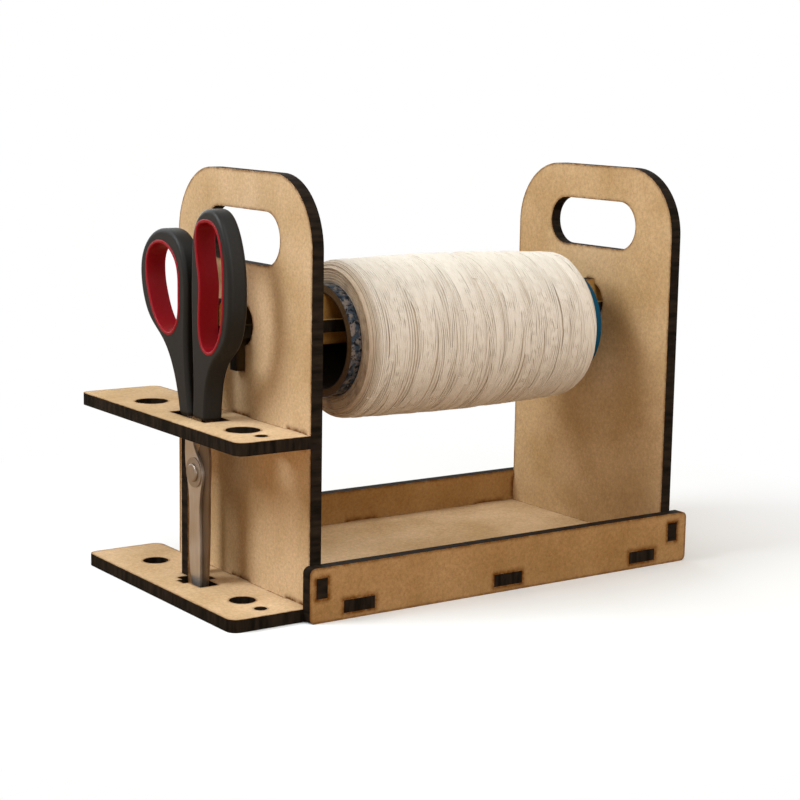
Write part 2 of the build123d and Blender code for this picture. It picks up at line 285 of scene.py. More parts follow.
@dataclass(frozen=True)
class SharedEffects:
    """Shader groups that more than one finish uses."""

    fine_noise: Noise = (1500.0, 2.0)
    fleck_noise: Noise = (620.0, 3.0, 0.6)
    cloud_noise: Noise = (28.0,)
    fleck_share: float = 0.6
    edge_range: Range = (0.9995, 0.86)

    @staticmethod
    def group(name: str, given: str, kind: str, outputs: tuple[str, ...]) -> tuple[Graph, Signal]:
        """Makes an empty shader group with one input.

        Args:
            name: the group's name.
            given: the input's name.
            kind: the input's socket type.
            outputs: the names of its outputs.

        Returns:
            The group's graph and its input.
        """
        tree = bpy.data.node_groups.new(name, "ShaderNodeTree")
        tree.interface.new_socket(given, in_out="INPUT", socket_type=kind)
        for socket in outputs:
            tree.interface.new_socket(socket, in_out="OUTPUT", socket_type="NodeSocketFloat")
        graph = Graph(tree)
        return graph, graph.take("NodeGroupInput", output=given)

    def mottle(self, graph: Graph, place: Signal) -> tuple[Signal, Signal]:
        """Adds the group for fine speckle over soft clouds.

        Args:
            graph: the material's graph.
            place: the point's place.

        Returns:
            The speckle and the clouds.
        """
        tree = bpy.data.node_groups.get("mottle")
        if not tree:
            inner, spot = self.group("mottle", "Vector", "NodeSocketVector", ("Speckle", "Cloud"))
            fine = inner.noise(spot, *self.fine_noise)
            flecks = inner.noise(spot, *self.fleck_noise)
            speckle = fine * (1.0 - self.fleck_share) + flecks * self.fleck_share
            inner.node("NodeGroupOutput", {"Speckle": speckle, "Cloud": inner.noise(spot, *self.cloud_noise)})
            tree = inner.tree
        outputs = graph.node("ShaderNodeGroup", {"Vector": place}, node_tree=tree).outputs
        return Signal(graph, outputs["Speckle"]), Signal(graph, outputs["Cloud"])

    def near_edge(self, graph: Graph, radius: float) -> Signal:
        """Adds the group that finds how near a point is to a sharp edge.

        Args:
            graph: the material's graph.
            radius: how far from the edge it reaches.

        Returns:
            One at the edge, and zero away from it.
        """
        tree = bpy.data.node_groups.get("edge_nearness")
        if not tree:
            inner, reach = self.group("edge_nearness", "Radius", "NodeSocketFloat", ("Nearness",))
            rounded = inner.take("ShaderNodeBevel", {"Radius": reach}, samples=6)
            flat = inner.take("ShaderNodeNewGeometry", output="Normal")
            turn = inner.vector("DOT_PRODUCT", rounded, flat)
            inner.node("NodeGroupOutput", {"Nearness": inner.remap(turn, *self.edge_range)})
            tree = inner.tree
        return graph.take("ShaderNodeGroup", {"Radius": radius}, "Nearness", node_tree=tree)


EFFECTS = SharedEffects()


@dataclass(frozen=True)
class Finish:
    """A material that reads the object's own coordinates."""

    name: str

    def surface(self, graph: Graph, place: Signal) -> Inputs:
        """Builds the pattern. Each kind of finish has its own.

        Args:
            graph: the material's graph.
            place: the point's place on the object.

        Returns:
            The Principled shader's inputs.
        """
        raise NotImplementedError

    def build(self) -> bpy.types.Material:
        """Returns the finished material."""
        material = bpy.data.materials.new(self.name)
        material.use_nodes = True
        graph = Graph(material.node_tree)
        place = graph.take("ShaderNodeTexCoord", output="Object")
        shader = graph.take("ShaderNodeBsdfPrincipled", self.surface(graph, place))
        graph.node("ShaderNodeOutputMaterial", {"Surface": shader})
        return material


@dataclass(frozen=True)
class HoleShade:
    """Painted shade on a strip, black where it passes through a panel's hole and sticks out of it: from one
    place along it to another.
    """

    start: float
    end: float
    fade: float = 1.5 * MM
    strength: float = 0.93

    def mask(self, graph: Graph, place: Signal) -> Signal:
        """Finds the part painted black with shade.

        Args:
            graph: the material's graph.
            place: the point's place.

        Returns:
            Nearly one where the strip is painted black with shade, and zero elsewhere.
        """
        along = graph.take("ShaderNodeSeparateXYZ", {0: place})
        after = graph.remap(along, self.start - self.fade, self.start)
        before = graph.remap(along, self.end + self.fade, self.end)
        return after * before * self.strength


@dataclass(frozen=True)
class Scorch:
    """A slot or a tab's end around which the cutter has browned the board."""

    centre: Triple
    half: Triple
    reach: float = 3.2 * MM
    core: float = 0.5 * MM

    def mask(self, graph: Graph, place: Signal) -> Signal:
        """Finds how near a point is to the slot.

        Args:
            graph: the material's graph.
            place: the point's place.

        Returns:
            One at the slot, falling to zero at the end of its reach.
        """
        offset = graph.vector("ABSOLUTE", graph.vector("SUBTRACT", place, self.centre))
        outside = graph.vector("MAXIMUM", graph.vector("SUBTRACT", offset, self.half), (0.0, 0.0, 0.0))
        return graph.remap(graph.vector("LENGTH", outside), self.reach, self.core)


@dataclass(frozen=True)
class FibreboardFinish(Finish):
    """Raw fibreboard: speckled tan faces, charred cut edges and a scorched rim beside them."""

    axis: SheetAxis
    # Multiplies the face colour: painted shade on plates that stand in shade.
    tone: Triple = WHITE
    hole_shade: HoleShade | None = None
    scorches: tuple[Scorch, ...] = ()
    pale: Triple = (0.67, 0.485, 0.305)
    deep: Triple = (0.50, 0.335, 0.175)
    scorch: Triple = (0.13, 0.047, 0.008)
    # The charred colour of the cut edges, also used for the painted shade on the axle strips.
    char_and_shade: Triple = (0.0065, 0.0045, 0.0032)
    char_pale: Triple = (0.024, 0.017, 0.012)
    scorch_radius: float = 3.0 * MM
    scorch_falloff: float = 1.6
    grain_height: float = 0.05 * MM
    cloud_range: Range = (0.3, 0.72)
    speckle_range: Range = (0.32, 0.70, 0.76, 1.16)
    cut_range: Range = (0.75, 0.6)
    ragged_noise: Noise = (260.0, 4.0, 0.65)
    ragged_range: Range = (*NOISE_SPAN, 0.3, 1.3)
    streak_noise: Noise = (420.0,)
    streak_range: Range = (0.35, 0.72)
    streak_stretch: float = 0.18
    roughness_range: Range = (0.0, 1.0, 0.88, 0.66)

    def surface(self, graph: Graph, place: Signal) -> Inputs:
        """Returns the shader's inputs: the face with any tone of painted shade, browned, with any painted
        shade of a hole, and the charred edge.
        """
        speckle, cloud = EFFECTS.mottle(graph, place)
        face = graph.mix(graph.remap(cloud, *self.cloud_range), self.pale, self.deep)
        lighter = graph.remap(speckle, *self.speckle_range)
        # The plate's tone multiplies the face: painted shade where a plate has one.
        shades = {channel: lighter * share for channel, share in enumerate(self.tone)}
        face = graph.mix(1.0, face, graph.take("ShaderNodeCombineXYZ", shades), "MULTIPLY")

        browned = EFFECTS.near_edge(graph, self.scorch_radius)
        for spot in self.scorches:
            nearness = graph.math("POWER", spot.mask(graph, place), self.scorch_falloff)
            browned = graph.math("MAXIMUM", browned, nearness)
        ragged = graph.remap(graph.noise(place, *self.ragged_noise), *self.ragged_range)
        face = graph.mix(graph.math("MULTIPLY", browned, ragged, clamp=True), face, self.scorch)
        # Painted shade: the axle strips are blackened where they pass through the left panel's hole.
        if self.hole_shade:
            face = graph.mix(self.hole_shade.mask(graph, place), face, self.char_and_shade)

        # The charred edge's streaks run across the sheet's thickness.
        stretch = tuple(self.streak_stretch if along else 1.0 for along in self.axis.value)
        streaks = graph.noise(graph.stretched(place, stretch), *self.streak_noise)
        charred = graph.remap(streaks, *self.streak_range)
        normal = graph.take("ShaderNodeTexCoord", output="Normal")
        flatness = graph.vector("DOT_PRODUCT", normal, self.axis.value)
        cut = graph.remap(graph.math("ABSOLUTE", flatness), *self.cut_range)
        return {
            "Base Color": graph.mix(cut, face, graph.mix(charred, self.char_and_shade, self.char_pale)),
            "Roughness": graph.remap(cut, *self.roughness_range),
            "Normal": graph.bump(graph.mix(cut, speckle, charred), self.grain_height),
            "Specular IOR Level": 0.03,
        }


@dataclass(frozen=True)
class CardboardFinish(Finish):
    """Wound grey-brown board, in rings at its cut ends, with painted shade on its bore."""

    centre: Triple
    inner_radius: float
    pale: Triple = (0.125, 0.075, 0.034)
    deep: Triple = (0.042, 0.023, 0.010)
    # Painted shade on the core's bore.
    bore_shade: Triple = (0.010, 0.006, 0.003)
    ring_pitch: float = 0.8 * MM
    ring_wander: float = 0.4 * MM
    wander_noise: Noise = (90.0,)
    speckle_noise: Noise = (900.0, 4.0, 0.6)
    bore_shade_reach: float = 0.4 * MM
    grain_height: float = 0.08 * MM

    def surface(self, graph: Graph, place: Signal) -> Inputs:
        """Returns the shader's inputs: rings around the core's axis, with painted shade on the bore."""
        offset = graph.vector("SUBTRACT", place, self.centre)
        across = graph.vector("MULTIPLY", offset, (0.0, 1.0, 1.0))
        radius = graph.vector("LENGTH", across)
        wander = graph.noise(place, *self.wander_noise) * self.ring_wander
        rings = graph.math("SINE", (radius + wander) * (math.tau / self.ring_pitch))
        speckle = graph.noise(place, *self.speckle_noise)
        tone = graph.remap(rings, -1.0, 1.0, 0.0, 0.45) + graph.remap(speckle, *NOISE_SPAN, 0.0, 0.5)
        # Painted shade: the bore turns near black, as deep inside the tube.
        lit = graph.remap(radius, self.inner_radius, self.inner_radius + self.bore_shade_reach)
        return {
            "Base Color": graph.mix(lit, self.bore_shade, graph.mix(tone, self.deep, self.pale)),
            "Roughness": graph.remap(speckle, *NOISE_SPAN, 0.78, 0.95),
            "Normal": graph.bump(tone, self.grain_height),
            "Specular IOR Level": 0.1,
        }


@dataclass(frozen=True)
class MarbledPaperFinish(Finish):
    """Paper around the core: marbled slate at one end, plain teal towards the other."""

    change_start: float
    change_end: float
    slate: Triple = (0.028, 0.042, 0.060)
    chalk: Triple = (0.165, 0.135, 0.118)
    ink: Triple = (0.005, 0.006, 0.009)
    teal: Triple = (0.0, 0.052, 0.105)
    warp_scale: float = 260.0
    warp_reach: float = 3.2 * MM
    vein_noise: Noise = (330.0, 4.0, 0.6)
    vein_range: Range = (0.45, 0.6)
    spot_noise: Noise = (520.0, 2.0)
    spot_range: Range = (0.52, 0.62)
    grain_height: float = 0.03 * MM

    def surface(self, graph: Graph, place: Signal) -> Inputs:
        """Returns the shader's inputs: veins and spots that are pulled about."""
        inputs = {"Vector": place, "Scale": self.warp_scale, "Detail": 3.0}
        warp = graph.take("ShaderNodeTexNoise", inputs, "Color")
        pull = graph.take("ShaderNodeVectorMath", {0: warp, "Scale": self.warp_reach}, operation="SCALE")
        bent = graph.vector("ADD", place, pull)
        veins = graph.noise(bent, *self.vein_noise)
        spots = graph.noise(bent, *self.spot_noise)
        marble = graph.mix(graph.remap(veins, *self.vein_range), self.slate, self.chalk)
        marble = graph.mix(graph.remap(spots, *self.spot_range), marble, self.ink)
        along = graph.take("ShaderNodeSeparateXYZ", {0: place})
        plain = graph.remap(along, self.change_start, self.change_end)
        return {
            "Base Color": graph.mix(plain, marble, self.teal),
            "Roughness": graph.remap(spots, *NOISE_SPAN, 0.5, 0.7),
            "Normal": graph.bump(veins, self.grain_height),
            "Specular IOR Level": 0.12,
        }


@dataclass(frozen=True)
class YarnFinish(Finish):
    """Unbleached cotton with soft fuzz, darker along its dashes, with painted shade near a first end, if it
    has one.
    """

    pale: Triple
    deep: Triple
    first_end: float = -1.0
    # Colour of the painted shade near the first end.
    tan: Triple = (0.42, 0.31, 0.20)
    end_shade_reach: float = 6.0 * MM
    dash_noise: Noise = (1000.0, 2.0)
    dash_stretch: Triple = (1.0, 0.2, 0.2)
    hair_noise: Noise = (2600.0, 2.0)
    hair_height: float = 0.12 * MM

    def surface(self, graph: Graph, place: Signal) -> Inputs:
        """Returns the shader's inputs: dashes round the spool with fine hairs on them."""
        dashes = graph.noise(graph.stretched(place, self.dash_stretch), *self.dash_noise)
        hairs = graph.noise(place, *self.hair_noise)
        tone = graph.remap(dashes, 0.3, 0.55, 0.0, 0.8) + graph.remap(hairs, 0.35, 0.65, 0.0, 0.2)
        along = graph.take("ShaderNodeSeparateXYZ", {0: place})
        # Painted shade: tan near the first end, which stands in the left panel's shade.
        shaded_end = graph.remap(along, self.first_end + self.end_shade_reach, self.first_end, 0.0, 0.85)
        return {
            "Base Color": graph.mix(shaded_end, graph.mix(tone, self.deep, self.pale), self.tan),
            "Roughness": graph.remap(hairs, *NOISE_SPAN, 0.82, 0.95),
            "Normal": graph.bump(hairs, self.hair_height),
            "Sheen Weight": 0.3,
            "Sheen Roughness": 0.6,
            "Specular IOR Level": 0.2,
        }


@dataclass(frozen=True)
class BladeFinish(Finish):
    """Steel ground along the blade, with a dull patch here and there."""

    pale: Triple
    deep: Triple
    line_noise: Noise = (2600.0, 4.0, 0.6)
    line_stretch: Triple = (1.0, 1.0, 0.02)
    line_height: float = 0.015 * MM
    patch_noise: Noise = (60.0,)

    def surface(self, graph: Graph, place: Signal) -> Inputs:
        """Returns the shader's inputs: lines of grinding and patches."""
        lines = graph.noise(graph.stretched(place, self.line_stretch), *self.line_noise)
        patches = graph.noise(place, *self.patch_noise)
        tone = graph.remap(lines, *NOISE_SPAN, 0.0, 0.6) + graph.remap(patches, *NOISE_SPAN, 0.0, 0.4)
        return {
            "Base Color": graph.mix(tone, self.deep, self.pale),
            "Metallic": 1.0,
            "Roughness": graph.remap(patches, *NOISE_SPAN, 0.30, 0.48),
            "Normal": graph.bump(lines, self.line_height),
        }


@dataclass(frozen=True)
class MouldedFinish(Finish):
    """Moulded plastic or rubber with a fine grain, and a painted highlight that makes its edges paler."""

    colour: Triple = (0.0060, 0.0053, 0.0046)
    # Paler colour of the grain's flecks and of the painted highlight on the edges.
    fleck_and_highlight: Triple = (0.022, 0.019, 0.0165)
    speckle_share: float = 0.3
    shine: float = 0.2
    smooth: float = 0.42
    rough: float = 0.58
    grain_height: float = 0.035 * MM
    edge_radius: float = 0.9 * MM

    def surface(self, graph: Graph, place: Signal) -> Inputs:
        """Returns the shader's inputs: speckle, and a painted highlight on the edges."""
        speckle, cloud = EFFECTS.mottle(graph, place)
        speckled = graph.remap(speckle, 0.3, 0.75, 0.0, self.speckle_share)
        # Painted highlight along the edges, with the grain's flecks.
        fleck_and_highlight_share = graph.math("ADD", EFFECTS.near_edge(graph, self.edge_radius), speckled, clamp=True)
        return {
            "Base Color": graph.mix(fleck_and_highlight_share, self.colour, self.fleck_and_highlight),
            "Roughness": graph.remap(cloud, *NOISE_SPAN, self.smooth, self.rough),
            "Normal": graph.bump(speckle, self.grain_height),
            "Specular IOR Level": self.shine,
        }


def dress(node: bpy.types.Object, material: bpy.types.Material) -> None:
    """Gives a node of the model one finish.

    Args:
        node: the model's object.
        material: the finish.
    """
    node.data.materials.clear()
    node.data.materials.append(material)
    LOG.info("dressed %s", node.name)


def middle_and_half(name: str) -> tuple[Vector, Vector]:
    """Measures a node's box.

    Args:
        name: the node.

    Returns:
        Its middle and half its size.
    """
    low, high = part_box(name)
    return (low + high) / 2, (high - low) / 2


@dataclass(frozen=True)
class Tabs:
    """The tabs along one edge: how far the outer ones are set in, and how long each is."""

    inset: float
    length: float

    def middles(self, low: float, high: float) -> list[float]:
        """Finds the middles of an edge's three tabs.

        Args:
            low: start of the edge.
            high: end of the edge.

        Returns:
            Three places along the edge.
        """
        first = low + self.inset + self.length / 2
        last = high - self.inset - self.length / 2
        return [first, (first + last) / 2, last]


@dataclass
class RackFrame:
    """The fibreboard stand: panels, rails, tray, tool shelves, their post and the axle."""

    nodes: dict[str, bpy.types.Object]
    plates: dict[SheetAxis, tuple[str, ...]] = field(default_factory=lambda: {
        SheetAxis.LENGTH: ("left_side_panel", "right_side_panel"),
        SheetAxis.DEPTH: ("front_rail", "back_rail", "shelf_post", "axle_vertical_strip"),
        SheetAxis.HEIGHT: ("tray_floor", "upper_tool_shelf", "lower_tool_shelf", "axle_horizontal_strip"),
    })
    # Darker, browner tones for some plates: painted shade on the front-facing rails, on the right panel
    # beside the spool and on the axle strips inside the core.
    shade_tones: dict[str, Triple] = field(default_factory=lambda: {
        "right_side_panel": (0.93, 0.90, 0.84),
        "front_rail": (0.60, 0.50, 0.36),
        "back_rail": (0.57, 0.45, 0.28),
        "axle_vertical_strip": (0.62, 0.50, 0.26),
        "axle_horizontal_strip": (0.80, 0.68, 0.36),
    })
    tray_tabs: Tabs = Tabs(inset=9.0 * MM, length=17.0 * MM)
    shelf_tabs: Tabs = Tabs(inset=5.0 * MM, length=15.0 * MM)
    panel_tab_bottom: float = 11.5 * MM
    panel_tab_top: float = 21.0 * MM
    # How far the painted shade on the axle strips reaches outside and inside the left panel.
    hole_shade_outside: float = 5.0 * MM
    hole_shade_inside: float = 0.5 * MM

    def rail_scorches(self, rail: str) -> tuple[Scorch, ...]:
        """Finds the browned places of a rail, at the ends of the tray's and the panels' tabs.

        Args:
            rail: the rail's name.

        Returns:
            One browned place for each tab.
        """
        middle, half = middle_and_half(rail)
        tray_middle, tray_half = middle_and_half("tray_floor")
        low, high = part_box("tray_floor")
        tray_half_size = (self.tray_tabs.length / 2, half.y, tray_half.z)
        spots = []
        for along in self.tray_tabs.middles(low.x, high.x):
            spots.append(Scorch((along, middle.y, tray_middle.z), tray_half_size))
        height = (self.panel_tab_bottom + self.panel_tab_top) / 2
        half_height = (self.panel_tab_top - self.panel_tab_bottom) / 2
        for panel in ("left_side_panel", "right_side_panel"):
            panel_middle, panel_half = middle_and_half(panel)
            spots.append(Scorch((panel_middle.x, middle.y, height), (panel_half.x, half.y, half_height)))
        return tuple(spots)

    def panel_scorches(self) -> tuple[Scorch, ...]:
        """Returns the browned places of the left panel, one for each tab of the shelves."""
        middle, half = middle_and_half("left_side_panel")
        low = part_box("front_rail")[1].y
        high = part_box("back_rail")[0].y
        spots = []
        for shelf in ("upper_tool_shelf", "lower_tool_shelf"):
            shelf_middle, shelf_half = middle_and_half(shelf)
            size = (half.x, self.shelf_tabs.length / 2, shelf_half.z)
            for along in self.shelf_tabs.middles(low, high):
                spots.append(Scorch((middle.x, along, shelf_middle.z), size))
        return tuple(spots)

    def build(self) -> None:
        """Dresses every plate, each in its own direction, and some with a tone of painted shade."""
        panel_low, panel_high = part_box("left_side_panel")
        hole_shade = HoleShade(panel_low.x - self.hole_shade_outside, panel_high.x + self.hole_shade_inside)
        scorches = {rail: self.rail_scorches(rail) for rail in ("front_rail", "back_rail")}
        scorches["left_side_panel"] = self.panel_scorches()
        for axis, names in self.plates.items():
            for name in names:
                finish = FibreboardFinish(
                    f"fibreboard_{name}",
                    axis=axis,
                    tone=self.shade_tones.get(name, WHITE),
                    hole_shade=hole_shade if name.startswith("axle") else None,
                    scorches=scorches.get(name, ()),
                )
                dress(self.nodes[name], finish.build())


@dataclass(frozen=True)
class SpoolPlace:
    """Where the model has the spool, and how large it is."""

    start: float
    length: float
    axis: Triple
    middle_radius: float
    core_radius: float

    @classmethod
    def measured(cls) -> SpoolPlace:
        """Returns the place and sizes that the model's nodes have."""
        middle, half = middle_and_half("thread_winding")
        core_half = middle_and_half("core_paper")[1]
        return cls(middle.x - half.x, 2 * half.x, (0.0, middle.y, middle.z), half.y, core_half.y)


@dataclass(frozen=True)
class YarnShape:
    """The yarn's outer form: a barrel that falls towards its ends, with rounded edges."""

    left_drop: float = 1.3 * MM
    right_drop: float = 2.3 * MM
    edge_radius: float = 5.0 * MM
    wave_height: float = 0.9 * MM
    end_inset: float = 0.75 * MM
    sides: int = 5


@dataclass(frozen=True)
class YarnLayer:
    """How one layer of threads lies on the yarn. Depth and unevenness count in thread radii."""

    threads: int
    bundle: int
    jitter: float
    drift: float
    unevenness: float
    depth: float
    seed: int
    radius: float
    points: int = 66
    turns: float = 1.1


@dataclass(frozen=True)
class EndRings:
    """The rings of thread on each of the yarn's ends."""

    rings: int = 17
    points: int = 80
    radius: float = 0.45 * MM
    groove: float = 1.3 * MM
    rounded_share: float = 0.3


@dataclass
class Spool:
    """The cardboard core with its paper, and the yarn wound on it."""

    nodes: dict[str, bpy.types.Object]
    place: SpoolPlace
    shape: YarnShape = YarnShape()
    even_layer: YarnLayer = YarnLayer(
        threads=210, bundle=1, jitter=0.07 * MM, drift=1.8 * MM,
        unevenness=0.2, depth=1.85, seed=7, radius=0.36 * MM,
    )
    crossing_layer: YarnLayer = YarnLayer(
        threads=150, bundle=3, jitter=5.0 * MM, drift=46.0 * MM,
        unevenness=0.4, depth=0.75, seed=23, radius=0.42 * MM,
    )
    end_rings: EndRings = EndRings()
    core_wall: float = 4.0 * MM
    core_clearance: float = 0.02 * MM
    mass_depth: float = 1.0 * MM
    profile_steps: int = 20
    body_segments: int = 96
    marbled_share: float = 0.4
    teal_share: float = 0.6

    def build(self) -> None:
        """Dresses the core and winds the yarn."""
        start, length = self.place.start, self.place.length
        inner_radius = self.place.core_radius - self.core_wall
        board = CardboardFinish("core_board", centre=self.place.axis, inner_radius=inner_radius)
        dress(self.nodes["spool_core"], board.build())
        paper = MarbledPaperFinish(
            "core_paper_print",
            change_start=start + length * self.marbled_share,
            change_end=start + length * self.teal_share,
        )
        dress(self.nodes["core_paper"], paper.build())
        top = YarnFinish("cotton_yarn", (0.715, 0.665, 0.605), (0.65, 0.59, 0.52), start)
        # The under threads and the yarn's mass are darker copies of the same cotton: painted shade between
        # the threads.
        under = YarnFinish("cotton_under_shaded", (0.70, 0.645, 0.58), (0.59, 0.525, 0.45), start)
        valley = YarnFinish("cotton_valley_shade", (0.66, 0.56, 0.45), (0.52, 0.42, 0.32))
        # The end rings are a darker copy of the cotton: painted shade on the yarn's ends.
        ends = YarnFinish("cotton_ends_shaded", (0.50, 0.385, 0.27), (0.27, 0.19, 0.12))
        sizes = {**asdict(self.place), **asdict(self.shape)}
        body = self.winding_body(valley.build())
        threads = ThreadTree("wound_threads", {**sizes, **asdict(self.even_layer)}).piece(under.build())
        crossing = ThreadTree("crossing_threads", {**sizes, **asdict(self.crossing_layer)}).piece(top.build())
        rings = RingTree("end_threads", {**sizes, **asdict(self.end_rings)}).piece(ends.build())
        for piece in (body, threads, crossing, rings):
            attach(piece, "spool")
            LOG.info("wound %s with %d faces", piece.name, len(piece.data.polygons))
        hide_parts("thread_winding")

    def profile_radius(self, along: float) -> float:
        """Finds the yarn's radius at a distance from its start.

        Args:
            along: distance from the yarn's first end.

        Returns:
            The radius of its surface there.
        """
        half = self.place.length / 2
        edge = self.shape.edge_radius
        from_middle = (along - half) / half
        drop = self.shape.left_drop if from_middle < 0 else self.shape.right_drop
        crown = self.place.middle_radius - drop * from_middle**2
        near_end = min(along, self.place.length - along)
        if near_end >= edge:
            return crown
        inward = edge - max(near_end, 0.0)
        return crown - edge + math.sqrt(edge**2 - inward**2)

    def winding_body(self, material: bpy.types.Material) -> bpy.types.Object:
        """Turns the yarn's inner mass, a little under the threads.

        Args:
            material: its finish.

        Returns:
            The closed ring as an object.
        """
        inner = self.place.core_radius + self.core_clearance
        first = self.shape.end_inset
        last = self.place.length - self.shape.end_inset
        outline = [(first, inner)]
        for step in range(self.profile_steps + 1):
            share = (1 - math.cos(math.pi * step / self.profile_steps)) / 2
            along = first + (last - first) * share
            outline.append((along, self.profile_radius(along) - self.mass_depth))
        outline.append((last, inner))
        centre = Vector(self.place.axis)
        count = len(outline)
        verts, faces = [], []
        for turn in range(self.body_segments):
            angle = math.tau * turn / self.body_segments
            ring = turn * count
            next_ring = (turn + 1) % self.body_segments * count
            for step, (along, radius) in enumerate(outline):
                spoke = Vector((self.place.start + along, radius * math.cos(angle), radius * math.sin(angle)))
                verts.append(centre + spoke)
                after = (step + 1) % count
                faces.append((ring + step, next_ring + step, next_ring + after, ring + after))
        mesh = bpy.data.meshes.new("yarn_mass")
        mesh.from_pydata(verts, [], faces)
        mesh.materials.append(material)
        mesh.update()
        mesh.shade_smooth()
        return add_object("yarn_mass", mesh)


class GeometryTree:
    """A geometry node tree that lays threads on the spool. Its inputs are named after the sizes."""

    kinds = {int: "NodeSocketInt", float: "NodeSocketFloat", tuple: "NodeSocketVector"}

    def __init__(self, name: str, sizes: dict[str, Any]) -> None:
        """Makes the tree and its sockets.

        Args:
            name: the name of the tree and of the piece that it makes.
            sizes: input name to value.
        """
        self.name = name
        self.sizes = sizes
        self.tree = bpy.data.node_groups.new(name, "GeometryNodeTree")
        kinds = {size: self.kinds[type(value)] for size, value in sizes.items()}
        sockets = {"Geometry": "NodeSocketGeometry", **kinds, "Material": "NodeSocketMaterial"}
        for socket, kind in sockets.items():
            self.tree.interface.new_socket(socket, in_out="INPUT", socket_type=kind)
        self.tree.interface.new_socket("Geometry", in_out="OUTPUT", socket_type="NodeSocketGeometry")
        self.graph = Graph(self.tree)
        outputs = self.graph.node("NodeGroupInput").outputs
        self.given = {socket: Signal(self.graph, outputs[socket]) for socket in sockets}
        real = self.graph.take("GeometryNodeRealizeInstances", {0: self.shape()})
        painted = self.graph.take("GeometryNodeSetMaterial", {0: real, "Material": self.given["Material"]})
        smooth = self.graph.take("GeometryNodeSetShadeSmooth", {0: painted})
        self.graph.node("NodeGroupOutput", {0: smooth})

    def shape(self) -> Signal:
        """Builds the geometry. Each kind of tree has its own."""
        raise NotImplementedError

    def piece(self, material: bpy.types.Material) -> bpy.types.Object:
        """Runs the tree.

        Args:
            material: the finish of what it makes.

        Returns:
            A plain mesh object.
        """
        values = {**self.sizes, "Material": material}
        holder = add_object(f"{self.name}_holder", bpy.data.meshes.new(f"{self.name}_holder"))
        modifier = holder.modifiers.new("tree", "NODES")
        modifier.node_group = self.tree
        for item in self.tree.interface.items_tree:
            if item.name in values:
                modifier[item.identifier] = values[item.name]
        holder.update_tag()
        evaluated = holder.evaluated_get(bpy.context.evaluated_depsgraph_get())
        mesh = bpy.data.meshes.new_from_object(evaluated)
        bpy.data.objects.remove(holder)
        mesh.name = self.name
        return add_object(self.name, mesh)

    def random(self, low: float, high: float, number: Signal, salt: Salt) -> Signal:
        """Adds a fixed random value for each thread.

        Args:
            low: lowest value.
            high: highest value.
            number: the thread's number.
            salt: makes this value differ from the others.

        Returns:
            The value.
        """
        inputs = {2: low, 3: high, "ID": number, "Seed": salt.value}
        return self.graph.take("FunctionNodeRandomValue", inputs, 1, data_type="FLOAT")

    def around(self, along: Signal, radius: Any, angle: Signal) -> Signal:
        """Finds a place around the X axis.

        Args:
            along: its distance along the axis.
            radius: its distance from the axis.
            angle: its angle round the axis.

        Returns:
            The place.
        """
        sideways = self.graph.math("COSINE", angle) * radius
        upward = self.graph.math("SINE", angle) * radius
        return self.graph.take("ShaderNodeCombineXYZ", {0: along, 1: sideways, 2: upward})

    def rounding(self, past: Signal) -> Signal:
        """Finds how far the yarn's rounded edge falls away.

        Args:
            past: the distance past the rounding's start, where less than zero counts as zero.

        Returns:
            The fall.
        """
        edge = self.given["edge_radius"]
        inward = self.graph.math("MAXIMUM", past, 0.0)
        return edge - self.graph.math("SQRT", edge * edge - inward * inward)

    def strands(self, count: Signal, place: Signal, strand: Signal, step: Signal, closed: bool) -> Signal:
        """Lays tubes through rows of points.

        Args:
            count: how many points there are in all.
            place: each point's place around the spool's axis.
            strand: the number of the tube that a point is on.
            step: the point's number on its tube.
            closed: whether each tube's end meets its start.

        Returns:
            The tubes.
        """
        points = self.graph.take("GeometryNodePoints", {"Count": count})
        position = self.graph.vector("ADD", place, self.given["axis"])
        moved = self.graph.take("GeometryNodeSetPosition", {"Geometry": points, "Position": position})
        inputs = {"Points": moved, "Curve Group ID": strand, "Weight": step}
        curves = self.graph.take("GeometryNodePointsToCurves", inputs)
        if closed:
            curves = self.graph.take("GeometryNodeSetSplineCyclic", {"Geometry": curves, "Cyclic": True})
        section = {"Radius": self.given["radius"], "Resolution": self.given["sides"]}
        circle = self.graph.take("GeometryNodeCurvePrimitiveCircle", section)
        inputs = {"Curve": curves, "Profile Curve": circle, "Fill Caps": True}
        return self.graph.take("GeometryNodeCurveToMesh", inputs)


